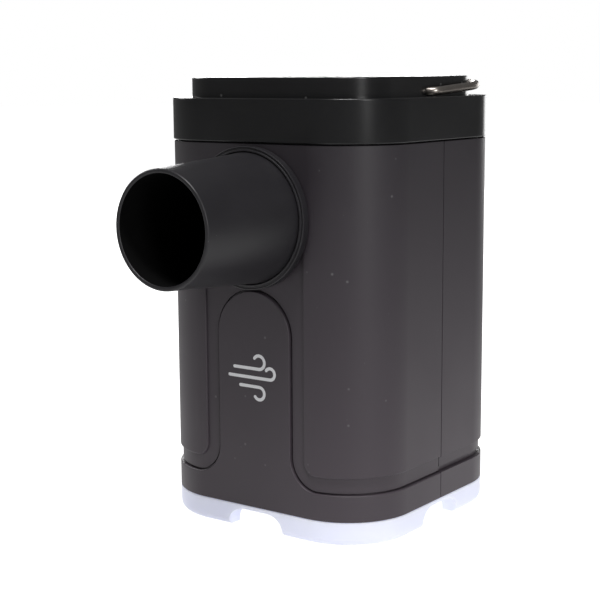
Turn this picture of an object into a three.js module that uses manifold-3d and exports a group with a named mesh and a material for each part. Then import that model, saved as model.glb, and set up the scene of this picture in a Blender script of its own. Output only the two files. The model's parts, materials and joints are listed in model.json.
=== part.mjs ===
// A rechargeable air mattress pump: a rounded-square housing in two halves, a side outlet near the top,
// a collar and top cap with the air inlet and a folding wire bail, and a lamp base on four corner feet.
// Millimetres. +X is the user's right, -Y is the outlet side, +Z is up. Pieces are modelled about the
// housing's own vertical axis, and one group then shifts them so that the origin is the centre of the
// whole pump's footprint.
import * as THREE from "three";
import { mergeVertices } from "three/addons/utils/BufferGeometryUtils.js";
import Module from "manifold-3d";

const wasm = await Module();
wasm.setup();

// Housing plan: every outline is the same rounded square, offset inwards or outwards.
const HALF = 30;
const CORNER = 15.7;
const RECESS = 0.6;
const COLLAR_HALF = HALF + 0.18;
const REBATE_HALF = 28.3;
const CAVITY_HALF = 27;
const CAP_HALF = 25.8;
const GAP = 0.3;

// Heights above the floor.
const SKIRT_BOTTOM = 5.4;
const SKIRT_TOP = 11.3;
const WRAP_BOTTOM = 14.9;
const COLLAR_BOTTOM = 86.1;
const COLLAR_TOP = 95.4;
const CAP_TOP = 99.8;
const SHELL_TOP = 93.3;
const SHELF_TOP = 57.2;

// Front panel: a round-topped tongue rises from the skirt inside a notch of the raised wrap.
const TONGUE_HALF = 9.8;
const TONGUE_CENTRE = 44.2;
const TONGUE_FILLET = 7;
const NOTCH_HALF = 13.4;
const NOTCH_FILLET = 3;

// Outlet nozzle, measured forward from the front face.
const NOZZLE_Z = 70;
const NOZZLE_REACH = 29.2;
const NOZZLE_TIP_R = 12.3;
const NOZZLE_LIP = 0.95;
const NOZZLE_BASE_R = 14.1;
const NOZZLE_BORE_R = 12.6;
const NOZZLE_SEAT_R = 15.9;
const BEZEL_R = 15.4;
const BEZEL_FRONT = 2.3;
const STUB_R = 11.3;
const STUB_BORE_R = 9.8;

// Folding bail of round wire.
const WIRE_R = 0.9;
const BAIL_HALF = 27.6;
const BAIL_CORNER = 13.3;
const BAIL_Z = 96.5;
const BAIL_TILT = 3.5;
const BAIL_END = 21.8;
const BAIL_BEND = 2;

// Blower and motor on the housing's axis.
const VOLUTE_FLOOR = 59;
const VOLUTE_TOP = 82;
const LID_TOP = 83.8;
const SCROLL_START_R = 18.6;
const SCROLL_END_R = 22.6;
const SCROLL_WALL = 1.2;
const IMPELLER_R = 17;
const BLADES = 9;
const MOTOR_R = 12.2;
const MOTOR_TOP = SHELF_TOP;
const MOTOR_BOTTOM = 27;
const SHAFT_R = 1.15;

// Rear controls, on the centre line.
const BOARD_Y = 21.5;
const BOARD_T = 1.2;
const POWER_Z = 46;
const POWER_R = 5;
const LAMP_Z = 34;
const LAMP_R = 4;
const BUTTON_PROUD = 0.6;
const LENS_Z = 52.6;
const PORT_Z = 22;

// Screws: pitch from the axis, shank and head radii.
const BASE_SCREW_AT = 21;
const VOLUTE_SCREW_AT = 20.5;
const CAP_SCREW_AT = 16.6;
const MOTOR_SCREW_AT = 8;

const CELL_AT = 16.6;
const CELL_R = 9.15;
const REAR_REACH = HALF + BUTTON_PROUD;
const BODY_Y = (HALF + NOZZLE_REACH - REAR_REACH) / 2;
const CORNERS = [[-1, -1], [1, -1], [1, 1], [-1, 1]];
const SIDES = [["left", -1], ["right", 1]];
const PART_STEPS = 20;

// Finishes by piece family: colour, roughness, metalness.
const FINISHES = {
  satinBlack: [0x38343a, 0.5, 0],
  nozzleBlack: [0x242326, 0.42, 0],
  glossBlack: [0x17171a, 0.22, 0],
  softBlack: [0x1c1c1e, 0.85, 0],
  frostedWhite: [0xe2e5f2, 0.45, 0],
  smokedLens: [0x9fb6c4, 0.2, 0],
  steelWire: [0x8f8880, 0.3, 1],
  screwSteel: [0x5d5e60, 0.4, 1],
  motorSteel: [0xa9abae, 0.35, 1],
  nickel: [0xc5c3ba, 0.35, 1],
  bladeBlack: [0x1b1b1c, 0.6, 0],
  filterFoam: [0x3a3b3d, 0.95, 0],
  boardGreen: [0x1e4f35, 0.55, 0],
  boardWhite: [0xe9ebe8, 0.5, 0],
  ledYellow: [0xe8d77a, 0.4, 0],
  cellBlue: [0x2f6f9e, 0.45, 0],
  gasketRubber: [0x242424, 0.9, 0],
};

const pump = new THREE.Group();
pump.name = "air_mattress_pump";
const housing = new THREE.Group();
housing.position.y = BODY_Y;
pump.add(housing);

// ---- Geometry helpers ----

function solid(geometry) {
  const bare = geometry.clone();
  bare.deleteAttribute("normal");
  bare.deleteAttribute("uv");
  const merged = mergeVertices(bare, 1e-4);
  const triVerts = new Uint32Array(merged.index.array);
  const vertProperties = merged.attributes.position.array;
  return new wasm.Manifold(new wasm.Mesh({ numProp: 3, vertProperties, triVerts }));
}

function geometryOf(body) {
  const { vertProperties, triVerts } = body.getMesh();
  const geometry = new THREE.BufferGeometry();
  geometry.setAttribute("position", new THREE.BufferAttribute(vertProperties, 3));
  geometry.setIndex(new THREE.BufferAttribute(triVerts, 1));
  geometry.computeVertexNormals();
  return geometry;
}

function join(...bodies) {
  return bodies.reduce((whole, body) => whole.add(body));
}

function cut(body, ...tools) {
  return tools.reduce((left, tool) => left.subtract(tool), body);
}

function place(name, body, finish) {
  const [color, roughness, metalness] = FINISHES[finish];
  const material = new THREE.MeshStandardMaterial({ color, roughness, metalness });
  const mesh = new THREE.Mesh(geometryOf(body), material);
  mesh.name = name;
  housing.add(mesh);
  return mesh;
}

function rectangle(halfWidth, halfHeight, radius) {
  const shape = new THREE.Shape();
  const x = halfWidth - radius;
  const y = halfHeight - radius;
  shape.moveTo(x, -halfHeight);
  shape.absarc(x, -y, radius, -Math.PI / 2, 0);
  shape.absarc(x, y, radius, 0, Math.PI / 2);
  shape.absarc(-x, y, radius, Math.PI / 2, Math.PI);
  shape.absarc(-x, -y, radius, Math.PI, Math.PI * 1.5);
  return shape;
}

// The housing's rounded square at another half width, concentric at the corners.
function square(half) {
  return rectangle(half, half, CORNER - (HALF - half));
}

function prism(shape, bottom, top, curveSegments = 3) {
  const depth = top - bottom;
  const geometry = new THREE.ExtrudeGeometry(shape, { depth, bevelEnabled: false, curveSegments });
  return solid(geometry.translate(0, 0, bottom));
}

// A shape drawn in the X-Z plane, standing between two depths.
function panel(shape, front, back, curveSegments = 4) {
  const depth = back - front;
  const geometry = new THREE.ExtrudeGeometry(shape, { depth, bevelEnabled: false, curveSegments });
  return solid(geometry.rotateX(Math.PI / 2).translate(0, back, 0));
}

function box(x0, x1, y0, y1, z0, z1) {
  const geometry = new THREE.BoxGeometry(x1 - x0, y1 - y0, z1 - z0);
  return solid(geometry.translate((x0 + x1) / 2, (y0 + y1) / 2, (z0 + z1) / 2));
}

function post(x, y, radius, bottom, top, steps = PART_STEPS) {
  const geometry = new THREE.CylinderGeometry(radius, radius, top - bottom, steps);
  return solid(geometry.rotateX(Math.PI / 2).translate(x, y, (bottom + top) / 2));
}

// A cylinder lying along Y, front to back.
function drum(x, z, radius, front, back, steps = PART_STEPS) {
  const geometry = new THREE.CylinderGeometry(radius, radius, back - front, steps);
  return solid(geometry.translate(x, (front + back) / 2, z));
}

// A closed profile of [radius, height] turned about the vertical axis.
function turned(profile, steps = PART_STEPS) {
  const points = [...profile, profile[0]].map(([r, h]) => new THREE.Vector2(r, h));
  return solid(new THREE.LatheGeometry(points, steps).rotateX(Math.PI / 2));
}

// A closed profile of [radius, distance forward of the front face] turned about the outlet's axis.
function turnedForward(profile, steps = PART_STEPS) {
  const points = [...profile, profile[0]].map(([r, d]) => new THREE.Vector2(r, d + HALF));
  const geometry = new THREE.LatheGeometry(points, steps).rotateX(Math.PI);
  return solid(geometry.translate(0, 0, NOZZLE_Z));
}

function ring(inner, outer, bottom, top, steps = PART_STEPS) {
  return turned([[outer, bottom], [outer, top], [inner, top], [inner, bottom]], steps);
}

// A pan-head screw standing on its head's seat, pointing up or down.
function screw(name, x, y, seat, direction, { shank, head, length, headHeight }) {
  const tip = seat + direction * length;
  const crown = seat - direction * headHeight;
  const between = (a, b) => [Math.min(a, b), Math.max(a, b)];
  const stem = post(x, y, shank, ...between(seat - direction * 0.2, tip), 8);
  const cap = post(x, y, head, ...between(seat, crown), 12);
  const recess = between(crown + direction * 0.6, crown - direction);
  const [arm, halfSlot] = [head * 0.6, 0.25];
  const driver = join(
    box(x - arm, x + arm, y - halfSlot, y + halfSlot, ...recess),
    box(x - halfSlot, x + halfSlot, y - arm, y + arm, ...recess),
  );
  place(name, cut(join(stem, cap), driver), "screwSteel");
}

// ---- Housing halves ----

// The skirt's front: a tongue with a round top and concave fillets down onto the skirt.
function tongueShape() {
  const shape = new THREE.Shape();
  const foot = TONGUE_HALF + TONGUE_FILLET;
  const fillet = SKIRT_TOP + TONGUE_FILLET;
  shape.moveTo(-foot, SKIRT_BOTTOM);
  shape.lineTo(foot, SKIRT_BOTTOM);
  shape.lineTo(foot, SKIRT_TOP);
  shape.absarc(foot, fillet, TONGUE_FILLET, -Math.PI / 2, -Math.PI, true);
  shape.absarc(0, TONGUE_CENTRE, TONGUE_HALF, 0, Math.PI);
  shape.absarc(-foot, fillet, TONGUE_FILLET, 0, -Math.PI / 2, true);
  return shape;
}

// The notch in the wrap, open behind the nozzle's bezel, with small rounded outer corners.
function notchShape() {
  const shape = new THREE.Shape();
  const foot = NOTCH_HALF + NOTCH_FILLET;
  const fillet = WRAP_BOTTOM + NOTCH_FILLET;
  shape.moveTo(-foot, WRAP_BOTTOM - 1);
  shape.lineTo(foot, WRAP_BOTTOM - 1);
  shape.lineTo(foot, WRAP_BOTTOM);
  shape.absarc(foot, fillet, NOTCH_FILLET, -Math.PI / 2, -Math.PI, true);
  shape.lineTo(NOTCH_HALF, NOZZLE_Z);
  shape.lineTo(-NOTCH_HALF, NOZZLE_Z);
  shape.absarc(-foot, fillet, NOTCH_FILLET, 0, -Math.PI / 2, true);
  return shape;
}

function nozzleClearance() {
  return drum(0, NOZZLE_Z, NOZZLE_SEAT_R + 0.5, -CAVITY_HALF, -CAVITY_HALF + 2.1);
}

function rearOpenings() {
  const inside = CAVITY_HALF - 1;
  const outside = HALF + 1;
  const port = rectangle(5, 2.3, 2.2);
  const pocket = rectangle(6.9, 4.1, 3.2);
  const lens = rectangle(4.3, 1.3, 1.2);
  return join(
    drum(0, POWER_Z, POWER_R + GAP, inside, outside),
    drum(0, LAMP_Z, LAMP_R + GAP, inside, outside),
    panel(lens, inside, outside, 2).translate([0, 0, LENS_Z]),
    panel(port, inside, outside, 2).translate([0, 0, PORT_Z]),
    panel(pocket, HALF - 1.4, outside, 3).translate([0, 0, PORT_Z]),
  );
}

function wholeHousing() {
  const seam = COLLAR_BOTTOM - GAP;
  const notch = panel(notchShape(), -HALF - 1, -HALF + RECESS + 4, 2);
  const wrap = cut(prism(square(HALF), WRAP_BOTTOM, seam), notch);
  const tongue = panel(tongueShape(), -HALF - 1, -HALF + 3, 6)
    .intersect(prism(square(HALF), SKIRT_BOTTOM, NOZZLE_Z));
  const skin = join(
    prism(square(REBATE_HALF), SKIRT_BOTTOM, SHELL_TOP),
    prism(square(HALF - RECESS), SKIRT_BOTTOM, seam),
    prism(square(HALF), SKIRT_BOTTOM, SKIRT_TOP),
    wrap,
    tongue,
  );
  const cavity = prism(square(CAVITY_HALF), SKIRT_BOTTOM - 1, SHELL_TOP + 1);
  const shelf = cut(
    prism(square(CAVITY_HALF + 0.4), SHELF_TOP - 1.8, SHELF_TOP),
    prism(square(CAVITY_HALF - 2.4), SHELF_TOP - 3, SHELF_TOP + 1),
    nozzleClearance(),
  );
  const bosses = CORNERS.map(([sx, sy]) =>
    cut(
      post(sx * BASE_SCREW_AT, sy * BASE_SCREW_AT, 3.5, 11.5, 15.5, 14),
      post(sx * BASE_SCREW_AT, sy * BASE_SCREW_AT, 1.5, 11, 16, 8),
    ),
  );
  const hole = drum(0, NOZZLE_Z, NOZZLE_BASE_R + GAP, -HALF - 1, -CAVITY_HALF + 1, 36);
  return cut(join(cut(skin, cavity), shelf, ...bosses), hole, rearOpenings());
}

function makeShells() {
  const whole = wholeHousing();
  const far = 2 * HALF;
  place("front_shell", whole.intersect(box(-far, far, -far, -GAP / 2, 0, CAP_TOP)), "satinBlack");
  place("rear_shell", whole.intersect(box(-far, far, GAP / 2, far, 0, CAP_TOP)), "satinBlack");
}

// ---- Collar, cap, inlet and bail ----

const CAP_WALL = 2;
const WELL_R = 19.5;
const WELL_FLOOR = 97.3;
const DUCT_R = 12.6;

function makeCollar() {
  const ledge = COLLAR_TOP - 1.6;
  const body = cut(
    prism(square(COLLAR_HALF), COLLAR_BOTTOM, COLLAR_TOP),
    prism(square(REBATE_HALF + GAP), COLLAR_BOTTOM - 1, ledge),
    prism(square(CAP_HALF + GAP), ledge - 1, COLLAR_TOP + 1),
  );
  place("top_collar", body, "glossBlack");
}

function makeCap() {
  const bottom = COLLAR_TOP - 3.6;
  const shell = cut(
    join(
      prism(square(CAP_HALF), bottom, CAP_TOP),
      prism(square(CAVITY_HALF - GAP), bottom, COLLAR_TOP - 1.6 - GAP),
    ),
    prism(square(CAP_HALF - CAP_WALL), bottom - 1, CAP_TOP - 1.8),
  );
  const well = post(0, 0, WELL_R + 1.2, WELL_FLOOR - 1.8, CAP_TOP - 1, 28);
  const duct = post(0, 0, DUCT_R + 1, bottom, WELL_FLOOR - 1);
  const body = cut(
    join(shell, well, duct),
    post(0, 0, WELL_R, WELL_FLOOR, CAP_TOP + 1, 28),
    post(0, 0, DUCT_R, bottom - 1, CAP_TOP + 1),
    ...SIDES.map(([, side]) => post(side * CAP_SCREW_AT, 0, 1.3, bottom, CAP_TOP, 8)),
    ...SIDES.map(([, side]) => pivotHole(side)),
  );
  place("top_cap", body, "glossBlack");
}

function pivotHole(side) {
  const geometry = new THREE.CylinderGeometry(WIRE_R + GAP, WIRE_R + GAP, 2 * CAP_WALL, 16);
  return solid(geometry.rotateZ(Math.PI / 2).translate(side * (CAP_HALF - 1), 0, BAIL_Z));
}

function makeInlet() {
  const [low, high] = [CAP_TOP - 1.4, CAP_TOP - GAP];
  const outer = WELL_R - GAP;
  const spokes = Array.from({ length: 4 }, (_, i) =>
    box(-15, 15, -0.6, 0.6, low, high).rotate([0, 0, i * 45]),
  );
  const grille = join(
    ring(14.4, outer, low, high, 24),
    ring(outer - 0.8, outer, WELL_FLOOR + GAP, low + 0.1, 24),
    ring(9.9, 11.1, low, high),
    ring(5.6, 6.8, low, high, 16),
    post(0, 0, 2.4, low, high, 8),
    ...spokes,
  );
  place("inlet_grille", grille, "nozzleBlack");
  place("inlet_filter", post(0, 0, DUCT_R - 0.4, WELL_FLOOR - 1.5, low - GAP, 28), "filterFoam");
  place("inlet_seal", ring(10.6, 13.4, 90.3, 91.5, 28), "gasketRubber");
  for (const [side, sign] of SIDES) {
    const size = { shank: 1, head: 1.6, length: 8, headHeight: 1 };
    screw(`cap_screw_${side}`, sign * CAP_SCREW_AT, 0, WELL_FLOOR + 0.02, -1, size);
  }
}

// A quarter of a circle in the bail's plane, from one heading to the next.
class Bend extends THREE.Curve {
  constructor(x, y, radius, start, end) {
    super();
    Object.assign(this, { x, y, radius, start, end });
  }

  getPoint(t, target = new THREE.Vector3()) {
    const angle = this.start + (this.end - this.start) * t;
    const { x, y, radius } = this;
    return target.set(x + radius * Math.cos(angle), y + radius * Math.sin(angle), 0);
  }
}

function bailPath() {
  const path = new THREE.CurvePath();
  const pin = BAIL_HALF - BAIL_BEND;
  const turn = BAIL_HALF - BAIL_CORNER;
  const line = (x0, y0, x1, y1) => path.add(
    new THREE.LineCurve3(new THREE.Vector3(x0, y0, 0), new THREE.Vector3(x1, y1, 0)),
  );
  const quarter = Math.PI / 2;
  line(BAIL_END, 0, pin, 0);
  path.add(new Bend(pin, BAIL_BEND, BAIL_BEND, -quarter, 0));
  line(BAIL_HALF, BAIL_BEND, BAIL_HALF, turn);
  path.add(new Bend(turn, turn, BAIL_CORNER, 0, quarter));
  line(turn, BAIL_HALF, -turn, BAIL_HALF);
  path.add(new Bend(-turn, turn, BAIL_CORNER, quarter, 2 * quarter));
  line(-BAIL_HALF, turn, -BAIL_HALF, BAIL_BEND);
  path.add(new Bend(-pin, BAIL_BEND, BAIL_BEND, 2 * quarter, 3 * quarter));
  line(-pin, 0, -BAIL_END, 0);
  return path;
}

function makeBail() {
  const section = new THREE.Shape().absarc(0, 0, WIRE_R, 0, 2 * Math.PI);
  const options = { steps: 60, curveSegments: 4, bevelEnabled: false, extrudePath: bailPath() };
  const wire = solid(new THREE.ExtrudeGeometry(section, options));
  const bail = place("carry_bail", wire, "steelWire");
  bail.position.z = BAIL_Z;
  bail.rotation.x = THREE.MathUtils.degToRad(BAIL_TILT);
}

// ---- Outlet ----

function makeNozzle() {
  const tipBore = NOZZLE_TIP_R - NOZZLE_LIP;
  const back = CAVITY_HALF - HALF - GAP;
  const tube = turnedForward([
    [NOZZLE_SEAT_R, back - 1.4],
    [NOZZLE_SEAT_R, back],
    [NOZZLE_BASE_R, back],
    [NOZZLE_BASE_R, BEZEL_FRONT],
    [NOZZLE_TIP_R, NOZZLE_REACH],
    [tipBore, NOZZLE_REACH],
    [NOZZLE_BORE_R, BEZEL_FRONT],
    [NOZZLE_BORE_R, back - 1.4],
  ], 36);
  place("outlet_nozzle", tube, "nozzleBlack");
  const inner = NOZZLE_BASE_R + GAP;
  const bezel = turnedForward([
    [BEZEL_R, GAP],
    [BEZEL_R, BEZEL_FRONT - 0.5],
    [BEZEL_R - 0.4, BEZEL_FRONT],
    [inner, BEZEL_FRONT],
    [inner, GAP],
  ], 36);
  place("nozzle_bezel", bezel, "nozzleBlack");
  const gasket = turnedForward([
    [NOZZLE_BORE_R - GAP, -4],
    [NOZZLE_BORE_R - GAP, -1.5],
    [STUB_R + GAP, -1.5],
    [STUB_R + GAP, -4],
  ]);
  place("nozzle_gasket", gasket, "gasketRubber");
}

// ---- Blower ----

// The scroll's outline: its radius grows steadily over one turn from the cutwater beside the outlet.
function scrollShape(extra) {
  const points = [];
  const steps = 24;
  for (let i = 0; i <= steps; i++) {
    const angle = -Math.PI / 3 + (2 * Math.PI * i) / steps;
    const radius = SCROLL_START_R + ((SCROLL_END_R - SCROLL_START_R) * i) / steps + extra;
    points.push(new THREE.Vector2(radius * Math.cos(angle), radius * Math.sin(angle)));
  }
  return new THREE.Shape(points);
}

function voluteBosses(bottom, top, radius) {
  return CORNERS.map(([sx, sy]) =>
    post(sx * VOLUTE_SCREW_AT, sy * VOLUTE_SCREW_AT, radius, bottom, top, 10),
  );
}

function makeVolute() {
  const floor = SHELF_TOP + GAP;
  const duct = STUB_R + 0.3;
  const bore = STUB_BORE_R + 0.2;
  const plate = prism(square(CAVITY_HALF - 0.4), floor, VOLUTE_FLOOR, 3);
  const cup = cut(
    join(
      cut(plate, nozzleClearance()),
      prism(scrollShape(SCROLL_WALL), floor, VOLUTE_TOP),
      box(-duct, duct, -24.5, 0, floor, VOLUTE_TOP),
      drum(0, NOZZLE_Z, STUB_R, 1 - HALF, -24, 24),
      ...voluteBosses(floor, VOLUTE_TOP, 2.6),
    ),
    prism(scrollShape(0), VOLUTE_FLOOR, VOLUTE_TOP + 1),
    box(-bore, bore, -23, 0, VOLUTE_FLOOR, VOLUTE_TOP + 1),
    drum(0, NOZZLE_Z, STUB_BORE_R, -HALF, -20, 24),
    post(0, 0, 5, floor - 1, VOLUTE_FLOOR + 1, 24),
    ...SIDES.map(([, side]) => post(side * MOTOR_SCREW_AT, 0, 1.3, floor - 1, VOLUTE_FLOOR + 1, 12)),
    ...voluteBosses(VOLUTE_TOP - 9, VOLUTE_TOP + 1, 1.3),
  );
  place("volute_cup", cup, "softBlack");
  const bottom = VOLUTE_TOP + GAP;
  const lid = cut(
    join(
      cut(prism(square(CAVITY_HALF - 0.4), bottom, LID_TOP, 3), nozzleClearance()),
      post(0, 0, 11.7, bottom, 90),
      ...SIDES.map(([, side]) => post(side * CAP_SCREW_AT, 0, 2.6, bottom, 95.2, 12)),
    ),
    post(0, 0, 10.2, bottom - 1, 91),
    ...SIDES.map(([, side]) => post(side * CAP_SCREW_AT, 0, 1.3, 88, 96, 8)),
    ...voluteBosses(bottom - 1, LID_TOP + 1, 1.3),
  );
  place("volute_lid", lid, "softBlack");
  CORNERS.forEach(([sx, sy], i) => {
    const size = { shank: 1, head: 1.9, length: 9, headHeight: 1.3 };
    screw(`volute_screw_${i + 1}`, sx * VOLUTE_SCREW_AT, sy * VOLUTE_SCREW_AT, LID_TOP + 0.02, -1, size);
  });
}

// One backward-swept blade, an arc of constant thickness between the hub and the rim.
function bladeShape() {
  const shape = new THREE.Shape();
  const sweep = 11;
  const thickness = 1;
  shape.absarc(sweep, 0, sweep - 1.2, Math.PI, Math.PI * 0.46, true);
  shape.absarc(sweep, 0, sweep - 1.2 - thickness, Math.PI * 0.46, Math.PI, false);
  return shape;
}

function makeImpeller() {
  const floor = 61.5;
  const blade = prism(bladeShape(), floor + 1, 76, 3).translate([2.6, 0, 0]);
  const rim = post(0, 0, IMPELLER_R, floor, 80, 32);
  const blades = Array.from({ length: BLADES }, (_, i) => blade.rotate([0, 0, (360 * i) / BLADES]));
  const body = join(
    post(0, 0, IMPELLER_R, floor, floor + 1.4, 32),
    post(0, 0, 3.6, floor, 74, 20),
    ...blades.map((each) => each.intersect(rim)),
  );
  place("impeller", cut(body, post(0, 0, SHAFT_R + 0.25, floor - 1, 80, 16)), "bladeBlack");
}

function makeMotor() {
  const can = cut(
    join(
      post(0, 0, MOTOR_R, MOTOR_BOTTOM, MOTOR_TOP, 28),
      post(0, 0, 4.4, MOTOR_TOP - 0.5, VOLUTE_FLOOR + 0.6, 20),
    ),
    post(0, 0, MOTOR_R - 1.4, MOTOR_BOTTOM - 1, MOTOR_TOP - 1.6, 28),
    post(0, 0, SHAFT_R + GAP, MOTOR_TOP - 3, 62, 16),
    ...SIDES.map(([, side]) => post(side * MOTOR_SCREW_AT, 0, 1.3, MOTOR_TOP - 3, MOTOR_TOP + 1, 12)),
  );
  place("motor_can", can, "motorSteel");
  const rotor = post(0, 0, MOTOR_R - 1.9, MOTOR_BOTTOM + 1, MOTOR_TOP - 6.4, 24);
  const shaft = join(rotor, post(0, 0, SHAFT_R, 23.6, 73.5, 16));
  place("motor_rotor", shaft, "motorSteel");
  const bell = cut(
    post(0, 0, MOTOR_R, 24.4, MOTOR_BOTTOM - GAP, 28),
    post(0, 0, SHAFT_R + GAP, 23, 28, 16),
  );
  place("motor_end_bell", bell, "softBlack");
  for (const [side, sign] of SIDES) {
    const size = { shank: 1, head: 1.8, length: 4, headHeight: 1.1 };
    screw(`motor_screw_${side}`, sign * MOTOR_SCREW_AT, 0, VOLUTE_FLOOR + 0.02, -1, size);
  }
}

// ---- Power and controls ----

function makeBatteries() {
  const trayTop = 15.6;
  const tray = cut(
    prism(square(CAVITY_HALF - 0.4), 13, trayTop, 3).intersect(box(-HALF, HALF, 5, HALF, 0, 50)),
    ...CORNERS.map(([sx, sy]) => post(sx * BASE_SCREW_AT, sy * BASE_SCREW_AT, 4, 12, 17, 20)),
    prism(square(CAVITY_HALF + 1), 12, 17).intersect(cornerBlocks()),
  );
  place("battery_tray", tray, "softBlack");
  for (const [side, sign] of SIDES) {
    const cell = join(
      post(sign * CELL_AT, CELL_AT, CELL_R, 16, 50.2, 28),
      post(sign * CELL_AT, CELL_AT, 3, 50, 51, 12),
    );
    place(`battery_cell_${side}`, cell, "cellBlue");
  }
  place("cell_link", box(-CELL_AT - 3, CELL_AT + 3, CELL_AT - 2, CELL_AT + 2, 51.2, 51.6), "nickel");
}

// Corner pieces beyond the base screw bosses, where the tray stops short of the housing wall.
function cornerBlocks() {
  return join(...CORNERS.map(([sx, sy]) => {
    const x = sx * (BASE_SCREW_AT + 3);
    const y = sy * (BASE_SCREW_AT + 3);
    return box(x - 4, x + 4, y - 4, y + 4, 12, 17);
  }));
}

function makeControls() {
  const face = BOARD_Y + BOARD_T;
  place("main_board", box(-7.5, 7.5, BOARD_Y, face, 17.6, 54), "boardGreen");
  const switchBack = face + GAP;
  for (const [name, z] of [["power_switch", POWER_Z], ["lamp_switch", LAMP_Z]]) {
    const body = join(
      box(-3, 3, switchBack, switchBack + 1.6, z - 3, z + 3),
      drum(0, z, 1.5, switchBack + 1.5, switchBack + 2.1, 16),
    );
    place(name, body, "softBlack");
  }
  for (const [name, z, radius] of [["power_button", POWER_Z, POWER_R], ["lamp_button", LAMP_Z, LAMP_R]]) {
    const inner = CAVITY_HALF - GAP;
    const body = join(
      drum(0, z, radius, inner - 0.5, HALF + BUTTON_PROUD, 24),
      drum(0, z, radius + 1, inner - 0.9, inner, 24),
      drum(0, z, 1.4, switchBack + 2.9, inner - 0.5, 10),
    );
    place(name, body, "softBlack");
  }
  const lens = rectangle(4, 1, 0.95);
  place("indicator_lens", panel(lens, CAVITY_HALF, HALF - 0.1, 2).translate([0, 0, LENS_Z]), "smokedLens");
  const mouth = HALF - 2.2;
  const socket = cut(
    panel(rectangle(4.47, 1.63, 1.5), switchBack, mouth, 2),
    panel(rectangle(4.17, 1.33, 1.2), switchBack + 1, mouth + 1, 2),
  );
  place("usb_socket", socket.translate([0, 0, PORT_Z]), "nickel");
  const cover = join(
    panel(rectangle(6.6, 3.8, 3), HALF - 1.1, HALF, 3),
    panel(rectangle(3.7, 1, 0.9), HALF - 2, HALF - 1, 2),
  );
  place("usb_cover", cover.translate([0, 0, PORT_Z]), "gasketRubber");
}

// ---- Lamp base ----

const FOOT_RECESS = 4.3;
const ARCH_TOP = 4.4;
const ARCH_FLAT = 3.2;
const ARCH_HALF = 7.4;
const ARCH_SHOULDER = 0.8;

// The gap between two feet: a low arch with elliptical shoulders.
function archShape() {
  const shape = new THREE.Shape();
  const [across, up] = [ARCH_HALF - ARCH_FLAT, ARCH_TOP - ARCH_SHOULDER];
  shape.moveTo(-ARCH_HALF, -1);
  shape.lineTo(ARCH_HALF, -1);
  shape.absellipse(ARCH_FLAT, ARCH_SHOULDER, across, up, 0, Math.PI / 2);
  shape.absellipse(-ARCH_FLAT, ARCH_SHOULDER, across, up, Math.PI / 2, Math.PI);
  return shape;
}

function makeDiffuser() {
  const top = SKIRT_BOTTOM - 0.1;
  const rim = 1.6;
  const edge = new THREE.ExtrudeGeometry(square(HALF - rim), {
    depth: SKIRT_BOTTOM + 6,
    bevelThickness: rim,
    bevelSize: rim,
    bevelSegments: 2,
    curveSegments: 3,
  });
  const block = solid(edge.translate(0, 0, rim)).intersect(box(-40, 40, -40, 40, -1, top));
  const arch = panel(archShape(), -HALF - 2, HALF + 2, 3);
  const pads = CORNERS.map(([sx, sy]) =>
    post(sx * BASE_SCREW_AT, sy * BASE_SCREW_AT, 4.4, 0.5, top, 14),
  );
  const spigot = cut(
    prism(square(CAVITY_HALF - 0.4), top - 0.2, 9.3, 3),
    prism(square(CAVITY_HALF - 1.8), top - 1, 10, 3),
  );
  const hollow = cut(
    block,
    prism(square(HALF - 4), -1, FOOT_RECESS, 3),
    arch,
    arch.rotate([0, 0, 90]),
  );
  const holes = CORNERS.flatMap(([sx, sy]) => [
    post(sx * BASE_SCREW_AT, sy * BASE_SCREW_AT, 2.8, -1, 2.7, 14),
    post(sx * BASE_SCREW_AT, sy * BASE_SCREW_AT, 1.5, -1, 10, 8),
  ]);
  place("lamp_diffuser", cut(join(hollow, ...pads, spigot), ...holes), "frostedWhite");
}

function makeLamp() {
  const holes = (bottom, top) => CORNERS.map(([sx, sy]) =>
    post(sx * BASE_SCREW_AT, sy * BASE_SCREW_AT, 1.5, bottom, top, 8),
  );
  const board = cut(prism(square(CAVITY_HALF - 2.2), 7.9, 9.1, 3), ...holes(7, 10));
  place("led_board", board, "boardWhite");
  const chassis = cut(prism(square(CAVITY_HALF - 0.4), 9.6, 11.2, 3), ...holes(9, 12));
  place("base_chassis", chassis, "softBlack");
  const chipAt = 9;
  CORNERS.forEach(([sx, sy], i) => {
    const [x, y] = [sx * chipAt, sy * chipAt];
    place(`led_chip_${i + 1}`, box(x - 1.75, x + 1.75, y - 1.75, y + 1.75, 6.8, 7.6), "ledYellow");
    const size = { shank: 1.2, head: 2.4, length: 12, headHeight: 1.5 };
    screw(`base_screw_${i + 1}`, sx * BASE_SCREW_AT, sy * BASE_SCREW_AT, 2.68, 1, size);
  });
}

makeShells();
makeCollar();
makeCap();
makeInlet();
makeBail();
makeNozzle();
makeVolute();
makeImpeller();
makeMotor();
makeBatteries();
makeControls();
makeDiffuser();
makeLamp();

export default pump;
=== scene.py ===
# Looks for a rechargeable air mattress pump: moulded housing halves, collar and cap with a folding wire
# bail, side outlet, rear controls and a frosted lamp base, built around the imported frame.
import json
import math

import bmesh
import bpy
from mathutils import Matrix, Vector


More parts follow.
